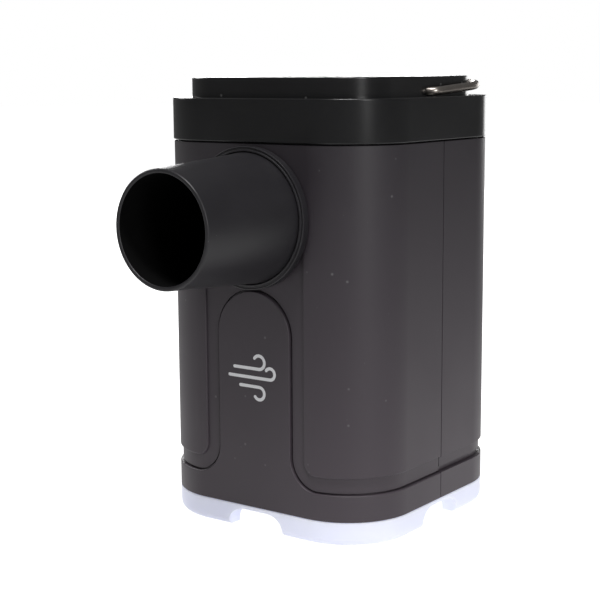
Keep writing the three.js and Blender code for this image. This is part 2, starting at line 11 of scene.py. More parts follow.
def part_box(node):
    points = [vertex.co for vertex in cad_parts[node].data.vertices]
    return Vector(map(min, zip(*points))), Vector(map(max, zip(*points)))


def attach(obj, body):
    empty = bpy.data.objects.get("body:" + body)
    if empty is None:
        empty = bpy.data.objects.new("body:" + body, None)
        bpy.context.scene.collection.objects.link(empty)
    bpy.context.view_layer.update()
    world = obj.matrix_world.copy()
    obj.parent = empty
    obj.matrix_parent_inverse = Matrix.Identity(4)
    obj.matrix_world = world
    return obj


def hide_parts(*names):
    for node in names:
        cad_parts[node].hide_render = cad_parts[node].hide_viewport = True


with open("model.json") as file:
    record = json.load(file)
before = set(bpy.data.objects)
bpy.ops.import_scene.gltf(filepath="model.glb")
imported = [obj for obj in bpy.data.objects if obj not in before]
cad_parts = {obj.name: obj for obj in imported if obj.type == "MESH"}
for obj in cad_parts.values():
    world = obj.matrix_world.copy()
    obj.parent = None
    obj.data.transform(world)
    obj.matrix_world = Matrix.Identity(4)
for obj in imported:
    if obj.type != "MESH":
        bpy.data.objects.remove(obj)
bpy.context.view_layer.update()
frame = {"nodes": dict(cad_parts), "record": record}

MM = 0.001

# ---- Sizes, in millimetres, taken from the frame where it holds them ----


def box_mm(node):
    low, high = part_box(node)
    return low / MM, high / MM


FRONT_LOW, FRONT_HIGH = box_mm("front_shell")
REAR_HIGH = box_mm("rear_shell")[1]
COLLAR_LOW, COLLAR_HIGH = box_mm("top_collar")
CAP_LOW, CAP_HIGH = box_mm("top_cap")
NOZZLE_LOW = box_mm("outlet_nozzle")[0]
BEZEL_LOW, BEZEL_HIGH = box_mm("nozzle_bezel")

AXIS_Y = (FRONT_LOW.y + REAR_HIGH.y) / 2
HALF = FRONT_HIGH.x
CORNER = 15.7
RECESS = 0.6
CAVITY_HALF = 27.0
REBATE_HALF = 28.3
COLLAR_HALF = COLLAR_HIGH.x
CAP_HALF = 25.8

SKIRT_BOTTOM = FRONT_LOW.z
SKIRT_TOP = SKIRT_BOTTOM + 5.9
WRAP_BOTTOM = SKIRT_TOP + 3.6
COLLAR_BOTTOM = COLLAR_LOW.z
COLLAR_TOP = COLLAR_HIGH.z
CAP_TOP = CAP_HIGH.z
SHELL_TOP = FRONT_HIGH.z
WRAP_TOP = COLLAR_BOTTOM - 0.3

TONGUE_HALF = 9.8
TONGUE_CENTRE = 44.2
TONGUE_FILLET = 7.0
NOTCH_HALF = 13.4
NOTCH_FILLET = 3.0

NOZZLE_Z = (BEZEL_LOW.z + BEZEL_HIGH.z) / 2
NOZZLE_REACH = FRONT_LOW.y - NOZZLE_LOW.y
BEZEL_R = BEZEL_HIGH.x

ROUND = 22
TURN = 2 * math.pi


# ---- Mesh making. Everything is modelled in millimetres about the housing's axis ----


def square(half):
    """A rounded square, counter-clockwise, concentric with the housing's own outline."""
    radius = CORNER - (HALF - half)
    reach = half - radius
    points = []
    for quarter in range(4):
        start = -math.pi / 2 + quarter * math.pi / 2
        cx = reach if quarter in (0, 1) else -reach
        cy = reach if quarter in (1, 2) else -reach
        for i in range(ROUND + 1):
            a = start + i * math.pi / 2 / ROUND
            points.append((cx + radius * math.cos(a), cy + radius * math.sin(a)))
    return points


def arc(cx, cy, radius, start, end, steps):
    angles = [start + (end - start) * i / steps for i in range(steps + 1)]
    return [(cx + radius * math.cos(a), cy + radius * math.sin(a)) for a in angles]


def rectangle(half_width, half_height, radius, steps=8):
    """A rectangle with round corners, counter-clockwise."""
    x, y = half_width - radius, half_height - radius
    quarter = math.pi / 2
    points = []
    for i, (sx, sy) in enumerate([(1, -1), (1, 1), (-1, 1), (-1, -1)]):
        points += arc(sx * x, sy * y, radius, (i - 1) * quarter, i * quarter, steps)
    return points


def circle(radius, steps):
    return arc(0, 0, radius, 0, TURN * (1 - 1 / steps), steps - 1)


def piece(name, bm):
    bm.normal_update()
    mesh = bpy.data.meshes.new(name)
    bm.to_mesh(mesh)
    bm.free()
    obj = bpy.data.objects.new(name, mesh)
    bpy.context.scene.collection.objects.link(obj)
    return obj


def prisms(outlines, low, high):
    """Closed solids, one standing on each outline."""
    bm = bmesh.new()
    for points in outlines:
        bottom = [bm.verts.new((x, y, low)) for x, y in points]
        top = [bm.verts.new((x, y, high)) for x, y in points]
        bm.faces.new(reversed(bottom))
        bm.faces.new(top)
        for i in range(len(points)):
            j = (i + 1) % len(points)
            bm.faces.new((bottom[i], bottom[j], top[j], top[i]))
    return piece("solid", bm)


def prism(points, low, high):
    return prisms([points], low, high)


def facing(points, front, back, z=0.0):
    """An outline drawn in the X-Z plane, standing between two depths."""
    obj = prism(points, -back, -front)
    obj.data.transform(Matrix.Translation((0, 0, z)) @ Matrix.Rotation(math.pi / 2, 4, "X"))
    return obj


def block(x0, x1, y0, y1, z0, z1):
    return prism([(x0, y0), (x1, y0), (x1, y1), (x0, y1)], z0, z1)


def skin(loops, capped):
    """Joins loops of points of equal count, one to the next, and caps both ends or joins last to first."""
    bm = bmesh.new()
    made = [[bm.verts.new(p) for p in loop] for loop in loops]
    pairs = list(zip(made, made[1:]))
    if not capped:
        pairs.append((made[-1], made[0]))
    count = len(made[0])
    for a, b in pairs:
        for i in range(count):
            j = (i + 1) % count
            bm.faces.new((a[i], a[j], b[j], b[i]))
    if capped:
        bm.faces.new(reversed(made[0]))
        bm.faces.new(made[-1])
    return bm


def rings(loops, capped=True):
    return piece("solid", skin(loops, capped))


def swept(profile, capped=False):
    """A profile of (half width, height) run round the rounded square."""
    return rings([[(x, y, z) for x, y in square(half)] for half, z in profile], capped)


def lathe(profile, steps, capped=False):
    """A profile of (radius, height) turned about Z: closed on itself, or capped at both ends."""
    loops = [
        [(r * math.cos(TURN * i / steps), r * math.sin(TURN * i / steps), h) for i in range(steps)]
        for r, h in profile
    ]
    return rings(loops, capped)


def aimed(obj, z, side):
    """Turns a lathe from +Z to face forward (-1) or back (1), its zero height at that face of the housing."""
    turn = Matrix.Rotation(-side * math.pi / 2, 4, "X")
    obj.data.transform(Matrix.Translation((0, side * HALF, z)) @ turn)
    return obj


def moved(obj, x=0.0, y=0.0, turn=0.0):
    obj.data.transform(Matrix.Translation((x, y, 0)) @ Matrix.Rotation(turn, 4, "Z"))
    return obj


def bake(obj):
    """Applies an object's modifiers."""
    depsgraph = bpy.context.evaluated_depsgraph_get()
    mesh = bpy.data.meshes.new_from_object(obj.evaluated_get(depsgraph))
    old = obj.data
    obj.modifiers.clear()
    obj.data = mesh
    bpy.data.meshes.remove(old)


def combine(obj, tool, operation):
    modifier = obj.modifiers.new("combine", "BOOLEAN")
    modifier.operation = operation
    modifier.solver = "EXACT"
    modifier.object = tool
    bake(obj)
    mesh = tool.data
    bpy.data.objects.remove(tool)
    bpy.data.meshes.remove(mesh)


def cut(obj, *tools):
    for tool in tools:
        combine(obj, tool, "DIFFERENCE")


def join(obj, *tools):
    for tool in tools:
        combine(obj, tool, "UNION")


def ease(obj, width, segments, angle=35):
    """Rounds the sharp edges."""
    modifier = obj.modifiers.new("ease", "BEVEL")
    modifier.width = width
    modifier.segments = segments
    modifier.limit_method = "ANGLE"
    modifier.angle_limit = math.radians(angle)
    modifier.miter_outer = "MITER_ARC"
    modifier.use_clamp_overlap = True
    bake(obj)


def tidy(obj, angle):
    """Merges stray vertices, then shades smooth between the sharp edges."""
    bm = bmesh.new()
    bm.from_mesh(obj.data)
    bmesh.ops.remove_doubles(bm, verts=bm.verts, dist=0.002)
    bmesh.ops.dissolve_degenerate(bm, edges=bm.edges, dist=0.001)
    bmesh.ops.recalc_face_normals(bm, faces=bm.faces)
    for face in bm.faces:
        face.smooth = True
    bm.to_mesh(obj.data)
    bm.free()
    obj.data.set_sharp_from_angle(angle=math.radians(angle))
    weighted = obj.modifiers.new("weighted", "WEIGHTED_NORMAL")
    weighted.keep_sharp = True
    weighted.weight = 60
    bake(obj)


def settle(obj, name, body, slot, material, *nodes, angle=32):
    """Names a finished piece, brings it from millimetres into the frame and gives it its body and finish."""
    tidy(obj, angle)
    obj.name = name
    obj.data.name = name
    obj.data.transform(Matrix.Scale(MM, 4) @ Matrix.Translation((0, AXIS_Y, 0)))
    obj.data.materials.clear()
    obj.data.materials.append(material)
    for face in obj.data.polygons:
        face.material_index = 0
    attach(obj, body)
    if nodes:
        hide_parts(*nodes)


# ---- Shader groups ----


def new_group(name, inputs, outputs):
    """A node group with named inputs (name, kind, default) and outputs (name, kind)."""
    group = bpy.data.node_groups.new(name, "ShaderNodeTree")
    for label, kind, value in inputs:
        socket = group.interface.new_socket(name=label, in_out="INPUT", socket_type=kind)
        socket.default_value = value
    for label, kind in outputs:
        group.interface.new_socket(name=label, in_out="OUTPUT", socket_type=kind)
    nodes = group.nodes
    return group, nodes.new("NodeGroupInput").outputs, nodes.new("NodeGroupOutput").inputs


class Wiring:
    """Adds nodes to a tree and links them."""

    def __init__(self, tree):
        self.tree = tree

    def feed(self, socket, value):
        if isinstance(value, bpy.types.NodeSocket):
            self.tree.links.new(value, socket)
        elif value is not None:
            socket.default_value = value

    def node(self, kind, settings=None, **inputs):
        made = self.tree.nodes.new(kind)
        for key, value in (settings or {}).items():
            setattr(made, key, value)
        for key, value in inputs.items():
            self.feed(made.inputs[key.replace("_", " ")], value)
        return made

    def math(self, operation, a, b=None, clamp=False):
        made = self.tree.nodes.new("ShaderNodeMath")
        made.operation = operation
        made.use_clamp = clamp
        self.feed(made.inputs[0], a)
        self.feed(made.inputs[1], b)
        return made.outputs[0]

    def span(self, value, low, high, to_low=0.0, to_high=1.0):
        made = self.tree.nodes.new("ShaderNodeMapRange")
        settings = {"Value": value, "From Min": low, "From Max": high, "To Min": to_low, "To Max": to_high}
        for key, setting in settings.items():
            self.feed(made.inputs[key], setting)
        return made.outputs[0]

    def blend(self, factor, a, b):
        made = self.tree.nodes.new("ShaderNodeMix")
        made.data_type = "RGBA"
        self.feed(made.inputs[0], factor)
        self.feed(made.inputs[6], a)
        self.feed(made.inputs[7], b)
        return made.outputs[2]

    def place(self, stretch=(1, 1, 1), turn=0.0):
        where = self.tree.nodes.new("ShaderNodeTexCoord").outputs["Object"]
        made = self.tree.nodes.new("ShaderNodeMapping")
        made.vector_type = "TEXTURE" if turn else "POINT"
        if turn:
            stretch = [1 / each for each in stretch]
            made.inputs["Rotation"].default_value = (turn, turn, 0)
        made.inputs["Scale"].default_value = stretch
        self.feed(made.inputs["Vector"], where)
        return made.outputs[0]


def edge_wear_group():
    """Mask: 1 along convex edges, broken up by noise."""
    group, given, out = new_group(
        "edge_wear",
        [("Radius", "NodeSocketFloat", 0.0004), ("Breakup", "NodeSocketFloat", 600.0)],
        [("Mask", "NodeSocketFloat")],
    )
    w = Wiring(group)
    rounded = w.node("ShaderNodeBevel", {"samples": 4}, Radius=given["Radius"])
    normal = group.nodes.new("ShaderNodeNewGeometry").outputs["Normal"]
    dot = w.node("ShaderNodeVectorMath", {"operation": "DOT_PRODUCT"})
    w.feed(dot.inputs[0], rounded.outputs[0])
    w.feed(dot.inputs[1], normal)
    edge = w.span(w.math("SUBTRACT", 1.0, dot.outputs["Value"]), 0.01, 0.12)
    noise = w.node("ShaderNodeTexNoise", Vector=w.place(), Scale=given["Breakup"], Detail=3.0)
    broken = w.span(noise.outputs[0], 0.38, 0.62, 0.25, 1.0)
    w.feed(out["Mask"], w.math("MULTIPLY", edge, broken, True))
    return group


def grain_group():
    """Height of a fine moulded grain, and a slow mottle from 0 to 1."""
    group, given, out = new_group(
        "moulded_grain",
        [("Scale", "NodeSocketFloat", 5000.0), ("Mottle Scale", "NodeSocketFloat", 60.0)],
        [("Height", "NodeSocketFloat"), ("Mottle", "NodeSocketFloat")],
    )
    w = Wiring(group)
    where = w.place()
    fine = w.node("ShaderNodeTexNoise", Vector=where, Scale=given["Scale"], Detail=2.0)
    pits = w.node("ShaderNodeTexVoronoi", {"feature": "SMOOTH_F1"}, Vector=where, Scale=given["Scale"])
    slow = w.node("ShaderNodeTexNoise", Vector=where, Scale=given["Mottle Scale"], Detail=4.0)
    mixed = w.math("ADD", w.math("MULTIPLY", fine.outputs[0], 0.6), w.math("MULTIPLY", pits.outputs[0], 0.4))
    w.feed(out["Height"], mixed)
    w.feed(out["Mottle"], w.span(slow.outputs[0], 0.3, 0.7))
    return group


def dust_group():
    """Mask of scattered specks, and of a few short hairline scratches."""
    group, given, out = new_group(
        "dust_and_scratches",
        [("Speck Scale", "NodeSocketFloat", 350.0), ("Share", "NodeSocketFloat", 0.1)],
        [("Specks", "NodeSocketFloat"), ("Scratches", "NodeSocketFloat")],
    )
    w = Wiring(group)
    cells = w.node("ShaderNodeTexVoronoi", Vector=w.place(), Scale=given["Speck Scale"])
    near = w.span(cells.outputs["Distance"], 0.05, 0.13, 1.0, 0.0)
    chosen = w.tree.nodes.new("ShaderNodeSeparateColor")
    w.feed(chosen.inputs[0], cells.outputs["Color"])
    lucky = w.math("LESS_THAN", chosen.outputs[0], given["Share"])
    w.feed(out["Specks"], w.math("MULTIPLY", near, lucky))
    lines = 0.0
    for stretch, turn in (((1, 1, 0.06), 0.5), ((1, 1, 0.1), -0.9)):
        streaks = w.node("ShaderNodeTexVoronoi", Vector=w.place(stretch, turn), Scale=900.0)
        line = w.span(streaks.outputs["Distance"], 0.04, 0.1, 1.0, 0.0)
        chosen = w.tree.nodes.new("ShaderNodeSeparateColor")
        w.feed(chosen.inputs[0], streaks.outputs["Color"])
        few = w.math("LESS_THAN", chosen.outputs[0], w.math("MULTIPLY", given["Share"], 0.12))
        lines = w.math("MAXIMUM", lines, w.math("MULTIPLY", line, few))
    w.feed(out["Scratches"], lines)
    return group


EDGE_WEAR = edge_wear_group()
GRAIN = grain_group()
DUST = dust_group()


def use(w, group, **inputs):
    made = w.tree.nodes.new("ShaderNodeGroup")
    made.node_tree = group
    for key, value in inputs.items():
        w.feed(made.inputs[key.replace("_", " ")], value)
    return made.outputs


def start_material(name, **constants):
    """A material with a Principled shader whose plain values are set on its own sockets."""
    material = bpy.data.materials.new(name)
    material.use_nodes = True
    shader = material.node_tree.nodes["Principled BSDF"]
    for key, value in constants.items():
        shader.inputs[key.replace("_", " ")].default_value = value
    return material, shader, Wiring(material.node_tree)


def moulded(
    name, colour, roughness,
    grain=5000.0, relief=0.3, worn=0.35, dusty=0.1, spread=0.25, foot=None, **constants
):
    """Moulded plastic or rubber: grain, mottled tone and gloss, lighter rubbed edges, dust and scratches,
    and, where a foot tone is given, painted light from below that lightens the tone towards the bottom.
    """
    material, shader, w = start_material(name, **constants)
    base = (*colour, 1.0)
    lighter = (*[min(1.0, c * (1 + spread) + 0.002) for c in colour], 1.0)
    rubbed = (*[min(1.0, c * 1.6 + 0.03) for c in colour], 1.0)
    dust_tone = (*[min(1.0, c + 0.16) for c in colour], 1.0)
    texture = use(w, GRAIN, Scale=grain)
    wear = use(w, EDGE_WEAR)
    dust = use(w, DUST, Share=dusty)
    tone = w.blend(texture["Mottle"], base, lighter)
    # Lighter towards the bottom: painted light from the floor below, not a colour of the plastic.
    if foot:
        height = w.tree.nodes.new("ShaderNodeSeparateXYZ")
        w.feed(height.inputs[0], w.place())
        tone = w.blend(w.span(height.outputs["Z"], 0.015, 0.085, 1.0, 0.0), tone, (*foot, 1.0))
    tone = w.blend(w.math("MULTIPLY", wear["Mask"], worn), tone, rubbed)
    specks, scratches = w.math("MULTIPLY", dust["Specks"], 0.55), w.math("MULTIPLY", dust["Scratches"], 0.3)
    marks = w.math("MAXIMUM", specks, scratches)
    w.feed(shader.inputs["Base Color"], w.blend(marks, tone, dust_tone))
    rough = w.span(texture["Mottle"], 0, 1, roughness * 0.92, roughness * 1.08)
    rough = w.math("SUBTRACT", rough, w.math("MULTIPLY", wear["Mask"], 0.12 * worn))
    w.feed(shader.inputs["Roughness"], w.math("ADD", rough, w.math("MULTIPLY", dust["Specks"], 0.3), True))
    bump = w.node("ShaderNodeBump", Strength=relief, Distance=0.00002, Height=texture["Height"])
    w.feed(shader.inputs["Normal"], bump.outputs[0])
    return material


def metal(name, colour, roughness, stretch=(1, 1, 1)):
    """Drawn, turned or plated metal with fine streaks and a slightly stained tone."""
    material, shader, w = start_material(name, Metallic=1.0)
    noise = w.node("ShaderNodeTexNoise", Vector=w.place(stretch), Scale=4000.0, Detail=3.0)
    stain = w.node("ShaderNodeTexNoise", Vector=w.place(), Scale=180.0, Detail=4.0)
    wear = use(w, EDGE_WEAR, Radius=0.0002)
    dark = (*[c * 0.72 for c in colour], 1.0)
    tone = w.blend(w.span(stain.outputs[0], 0.35, 0.7), (*colour, 1.0), dark)
    bright = (*[min(1.0, c * 1.35) for c in colour], 1.0)
    w.feed(shader.inputs["Base Color"], w.blend(w.math("MULTIPLY", wear["Mask"], 0.3), tone, bright))
    w.feed(shader.inputs["Roughness"], w.span(noise.outputs[0], 0.3, 0.7, roughness * 0.8, roughness * 1.25))
    bump = w.node("ShaderNodeBump", Strength=0.25, Distance=0.00001, Height=noise.outputs[0])
    w.feed(shader.inputs["Normal"], bump.outputs[0])
    return material


def frosted():
    """Milky translucent plastic of the lamp base: faint flow mottle, satin skin, and a painted glow standing
    in for light passing through it while the lamp is off.
    """
    material, shader, w = start_material("frosted_white")
    shader.inputs["Subsurface Weight"].default_value = 0.35
    shader.inputs["Subsurface Radius"].default_value = (1.0, 1.0, 1.2)
    shader.inputs["Subsurface Scale"].default_value = 0.003
    shader.inputs["IOR"].default_value = 1.49
    texture = use(w, GRAIN, Scale=3500.0, Mottle_Scale=45.0)
    wear = use(w, EDGE_WEAR, Radius=0.0005)
    tone = w.blend(texture["Mottle"], (0.70, 0.72, 0.86, 1), (0.76, 0.78, 0.90, 1))
    tone = w.blend(w.math("MULTIPLY", wear["Mask"], 0.4), tone, (0.85, 0.87, 0.95, 1))
    w.feed(shader.inputs["Base Color"], tone)
    # Painted glow: the unlit base emits its own tone in place of light coming through it.
    w.feed(shader.inputs["Emission Color"], tone)
    shader.inputs["Emission Strength"].default_value = 0.25
    w.feed(shader.inputs["Roughness"], w.span(texture["Mottle"], 0, 1, 0.38, 0.5))
    bump = w.node("ShaderNodeBump", Strength=0.2, Distance=0.00002, Height=texture["Height"])
    w.feed(shader.inputs["Normal"], bump.outputs[0])
    return material


def foam():
    """Open-cell filter foam: dark cells in a lighter web."""
    material, shader, w = start_material("filter_foam")
    cells = w.node("ShaderNodeTexVoronoi", {"feature": "DISTANCE_TO_EDGE"}, Vector=w.place(), Scale=900.0)
    web = w.span(cells.outputs["Distance"], 0.05, 0.3, 1.0, 0.0)
    w.feed(shader.inputs["Base Color"], w.blend(web, (0.008, 0.008, 0.009, 1), (0.06, 0.06, 0.065, 1)))
    w.feed(shader.inputs["Roughness"], w.span(web, 0, 1, 1.0, 0.8))
    bump = w.node("ShaderNodeBump", Strength=0.9, Distance=0.0004, Height=web)
    w.feed(shader.inputs["Normal"], bump.outputs[0])
    return material


def circuit(name, mask_colour, trace_colour):
    """Solder mask over faint copper traces."""
    material, shader, w = start_material(name)
    brick = w.node(
        "ShaderNodeTexBrick",
        {"offset": 0.35, "squash": 1.4},
        Vector=w.place(),
        Scale=220.0,
        Mortar_Size=0.05,
    )
    for i in (1, 2, 3):
        brick.inputs[i].default_value = (float(i == 3),) * 3 + (1.0,)
    trace = w.math("MULTIPLY", brick.outputs["Fac"], 0.7)
    w.feed(shader.inputs["Base Color"], w.blend(trace, (*mask_colour, 1), (*trace_colour, 1)))
    w.feed(shader.inputs["Roughness"], w.span(brick.outputs["Fac"], 0, 1, 0.45, 0.3))
    bump = w.node("ShaderNodeBump", Strength=0.4, Distance=0.00004, Height=brick.outputs["Fac"])
    w.feed(shader.inputs["Normal"], bump.outputs[0])
    return material


# Tone the lower body is blended to: painted light from the floor below.
PAINTED_LOW_LIGHT_TONE = (0.058, 0.0465, 0.057)
SATIN = moulded(
    "satin_black", (0.0238, 0.0198, 0.0245), 0.46, worn=0.15, dusty=0.22, spread=0.1, foot=PAINTED_LOW_LIGHT_TONE
)
NOZZLE = moulded("nozzle_black", (0.0135, 0.0125, 0.015), 0.42, spread=0.1)
# Far darker, duller copy of the nozzle finish for the inside of the tube: painted shade.
BORE_PAINTED_SHADE = moulded("bore_painted_shade", (0.0012, 0.0012, 0.0013), 0.85, worn=0.0, dusty=0.0, Specular_IOR_Level=0.06)
GLOSS = moulded("gloss_black", (0.005, 0.005, 0.0055), 0.24, grain=2500.0, relief=0.08, worn=0.25, dusty=0.06)
SOFT = moulded("soft_black", (0.012, 0.012, 0.013), 0.7, relief=0.6, worn=0.2)
INNER = moulded("inner_black", (0.012, 0.012, 0.012), 0.6)
BLADE = moulded("blade_black", (0.018, 0.018, 0.019), 0.5)
RUBBER = moulded("gasket_rubber", (0.01, 0.01, 0.01), 0.8, relief=0.8)
LENS = moulded("smoked_lens", (0.12, 0.15, 0.17), 0.18, relief=0.05, dusty=0.02)
LED = moulded("led_yellow", (0.75, 0.6, 0.2), 0.35, relief=0.2)
CELL = moulded("cell_blue", (0.03, 0.12, 0.28), 0.3, relief=0.15)
INK = moulded(
    "print_white", (0.78, 0.78, 0.8), 0.5, grain=9000.0, relief=0.5, worn=0.0, dusty=0.0, spread=0.05
)
WIRE = metal("steel_wire", (0.42, 0.38, 0.345), 0.32)
SCREW = metal("screw_steel", (0.33, 0.33, 0.34), 0.35)
MOTOR = metal("motor_steel", (0.55, 0.55, 0.56), 0.32, stretch=(1, 1, 0.05))
NICKEL = metal("nickel", (0.66, 0.64, 0.58), 0.28)
FROST_PAINTED_GLOW = frosted()
FOAM = foam()
GREEN = circuit("board_green", (0.012, 0.09, 0.035), (0.03, 0.16, 0.07))
WHITE_BOARD = circuit("board_white", (0.7, 0.72, 0.7), (0.55, 0.57, 0.55))


# ---- Housing halves ----

FLAT = HALF - CORNER
GIRTH = 2 * FLAT + CORNER * math.pi / 2
COLUMNS = [FLAT + i * CORNER * math.pi / 2 / ROUND for i in range(ROUND + 1)]
SEAM = 0.1


def wall_point(s, z, out, side):
    """A point on the front (-1) or rear (1) wall: s round from its middle, out from the housing's face."""
    reach = abs(s)
    if reach <= FLAT:
        x, y = reach, HALF + out
    elif reach >= COLUMNS[-1]:
        x, y = HALF + out, GIRTH - reach
    else:
        step = (reach - FLAT) / CORNER * ROUND * 2 / math.pi
        a, share = math.floor(step), step - math.floor(step)
        ends = [(FLAT + (CORNER + out) * math.sin(t), FLAT + (CORNER + out) * math.cos(t))
                for t in (a * math.pi / 2 / ROUND, (a + 1) * math.pi / 2 / ROUND)]
        x, y = [ends[0][i] * (1 - share) + ends[1][i] * share for i in (0, 1)]
    return Vector((math.copysign(x, s), side * y, z))


def inset(outline, distance, seam_share=0.15):
    """Moves an outline's edges inwards by a distance, and the edges at the seam by only a share of it."""
    count = len(outline)
    moved_out = []
    for i in range(count):
        (ax, ay), (bx, by), (cx, cy) = outline[i - 1], outline[i], outline[(i + 1) % count]
        lines = []
        for x0, y0, x1, y1 in ((ax, ay, bx, by), (bx, by, cx, cy)):
            length = math.hypot(x1 - x0, y1 - y0)
            at_seam = min(abs(x0), abs(x1)) > GIRTH - 0.5
            lines.append((-(y1 - y0) / length, (x1 - x0) / length, distance * (seam_share if at_seam else 1)))
        (px, py, p), (qx, qy, q) = lines
        det = px * qy - py * qx
        if abs(det) < 0.05:
            mx, my, m = px + qx, py + qy, (p + q) / 2
            size = math.hypot(mx, my)
            moved_out.append((bx + mx / size * m, by + my / size * m))
        else:
            moved_out.append((bx + (p * qy - q * py) / det, by + (px * q - qx * p) / det))
    return moved_out


def wall_panel(outline, back, front, radius, side):
    """A raised panel on the wall: its outline in (round, up), its edges rounded."""
    levels = [(0.0, back)]
    for i in range(5):
        a = i * math.pi / 8
        levels.append((radius * (1 - math.cos(a)), front - radius * (1 - math.sin(a))))
    sized = [(inset(outline, distance) if distance else outline, out) for distance, out in levels]
    bm = skin([[(x, z, out) for x, z in points] for points, out in sized], capped=True)
    for column in [sign * c for sign in (-1, 1) for c in COLUMNS]:
        every = bm.verts[:] + bm.edges[:] + bm.faces[:]
        bmesh.ops.bisect_plane(bm, geom=every, dist=1e-4, plane_co=(column, 0, 0), plane_no=(1, 0, 0))
    for vert in bm.verts:
        vert.co = wall_point(vert.co.x, vert.co.y, vert.co.z, side)
    if side > 0:
        bmesh.ops.reverse_faces(bm, faces=bm.faces[:])
    return piece("panel", bm)


def half_band(half, inner, low, high, side, seam):
    """A plain wall that follows one half of the rounded square."""
    angle = lambda p: math.atan2(p[1] * side, p[0])
    loops = []
    for size in (half, inner):
        kept = sorted([p for p in square(size) if p[1] * side > seam], key=angle)
        loops.append([(size, seam * side), *kept, (-size, seam * side)])
    loop = loops[0] + loops[1][::-1]
    return prism(loop if side > 0 else loop[::-1], low, high)


def level_panel(low, high):
    edge = GIRTH - SEAM
    return [(-edge, low), (edge, low), (edge, high), (-edge, high)]


def skirt_outline():
    """The front skirt with its round-topped tongue."""
    edge = GIRTH - SEAM
    foot = TONGUE_HALF + TONGUE_FILLET
    centre = SKIRT_TOP + TONGUE_FILLET
    quarter = math.pi / 2
    right = arc(foot, centre, TONGUE_FILLET, -quarter, -2 * quarter, 20)
    top = arc(0, TONGUE_CENTRE, TONGUE_HALF, 0, math.pi, 56)
    left = arc(-foot, centre, TONGUE_FILLET, 0, -quarter, 20)
    low = SKIRT_BOTTOM
    return [(-edge, low), (edge, low), (edge, SKIRT_TOP), *right, *top, *left, (-edge, SKIRT_TOP)]


def wrap_outline():
    """The front wrap panel, open in the middle for the tongue."""
    edge = GIRTH - SEAM
    foot = NOTCH_HALF + NOTCH_FILLET
    centre = WRAP_BOTTOM + NOTCH_FILLET
    quarter = math.pi / 2
    right = arc(foot, centre, NOTCH_FILLET, -2 * quarter, -quarter, 14)
    left = arc(-foot, centre, NOTCH_FILLET, -quarter, 0, 14)
    return [
        (NOTCH_HALF, NOZZLE_Z), *right, (edge, WRAP_BOTTOM), (edge, WRAP_TOP),
        (-edge, WRAP_TOP), (-edge, WRAP_BOTTOM), *left, (-NOTCH_HALF, NOZZLE_Z),
    ]


def centre_z(node):
    low, high = box_mm(node)
    return (low.z + high.z) / 2


POWER_KEY_R = 5.0
LAMP_KEY_R = 4.0
LENS_SIZE = 4.0, 1.0
FLAP_SIZE = 6.6, 3.8
FLAP_THICK = 1.1
FIT = 0.1
FLAP_FIT = 0.3
OPENING_LIP = 0.25
REAR_OPENINGS = [
    ("power_button", lambda grow: circle(POWER_KEY_R + FIT + grow, 56)),
    ("lamp_button", lambda grow: circle(LAMP_KEY_R + FIT + grow, 56)),
    ("indicator_lens", lambda grow: rectangle(*[half + FIT + grow for half in LENS_SIZE], 1.0 + grow)),
]


def flared(outline, z, front, mouth):
    """A cutter for the rear face whose mouth widens a little."""
    lip = OPENING_LIP
    widening = (lip * 0.35, mouth - lip * 0.4), (lip, mouth), (lip * 3, mouth + 2 * lip)
    loops = []
    for grow, y in ((0, front), (0, mouth - lip), *widening):
        loops.append([(-x, y, z + up) for x, up in outline(grow)])
    return rings(loops)


GROOVE = 0.42
GROOVE_DEPTH = 0.5
SKIRT_ROUND = 0.28
WRAP_ROUND = 0.45
OUTLET_OPENING_R = 14.45
SHELF_LOW, SHELF_HIGH, SHELF_HALF = 55.4, 57.2, 24.6
BASE_SCREW_AT = 21.0
BOSS = [(3.5, 11.5), (3.5, 15.2), (3.2, 15.5), (1.5, 15.5), (1.5, 11.5)]


def shell(side):
    core = half_band(HALF - RECESS, CAVITY_HALF, SKIRT_BOTTOM + 0.05, WRAP_TOP - 0.05, side, SEAM + 0.02)
    rebate = half_band(REBATE_HALF, CAVITY_HALF + 0.05, WRAP_TOP - 1, SHELL_TOP, side, SEAM + 0.03)
    front = side < 0
    skirt = skirt_outline() if front else level_panel(SKIRT_BOTTOM, SKIRT_TOP)
    groove = wall_panel(inset(skirt, -GROOVE, 3.0), -RECESS - GROOVE_DEPTH, 1.0, 0.01, side)
    cut(core, groove)
    around = wrap_outline() if front else level_panel(WRAP_BOTTOM, WRAP_TOP)
    wrap = wall_panel(around, -1.5, 0.0, WRAP_ROUND, side)
    shelf = half_band(CAVITY_HALF + 0.3, SHELF_HALF, SHELF_LOW, SHELF_HIGH, side, SEAM + 0.4)
    join(core, wall_panel(skirt, -2.0, 0.0, SKIRT_ROUND, side), wrap, rebate, shelf)
    for across in (-BASE_SCREW_AT, BASE_SCREW_AT):
        join(core, moved(lathe(BOSS, 40), across, side * BASE_SCREW_AT))
    if front:
        cut(core, facing(circle(OUTLET_OPENING_R, 96), -HALF - 1, -CAVITY_HALF + 4, NOZZLE_Z))
    else:
        for node, outline in REAR_OPENINGS:
            cut(core, flared(outline, centre_z(node), CAVITY_HALF - 1, HALF))
        port = centre_z("usb_cover")
        seat = lambda grow: rectangle(*[half + FLAP_FIT + grow for half in FLAP_SIZE], 3.2 + grow, 12)
        cut(core, flared(seat, port, HALF - FLAP_THICK - FLAP_FIT, HALF))
        cut(core, facing(rectangle(5.0, 2.3, 2.2, 12), CAVITY_HALF - 1, HALF, port))
    return core


def make_shells():
    settle(shell(-1), "front_housing", "housing", "satin_black", SATIN, "front_shell")
    settle(shell(1), "rear_housing", "housing", "satin_black", SATIN, "rear_shell")


# ---- Collar, cap, inlet ----


def fillet(half, z, radius, start, end, steps):
    """Points of a rounded corner of a profile, about a centre given as (half, z)."""
    return arc(half, z, radius, math.radians(start), math.radians(end), steps)


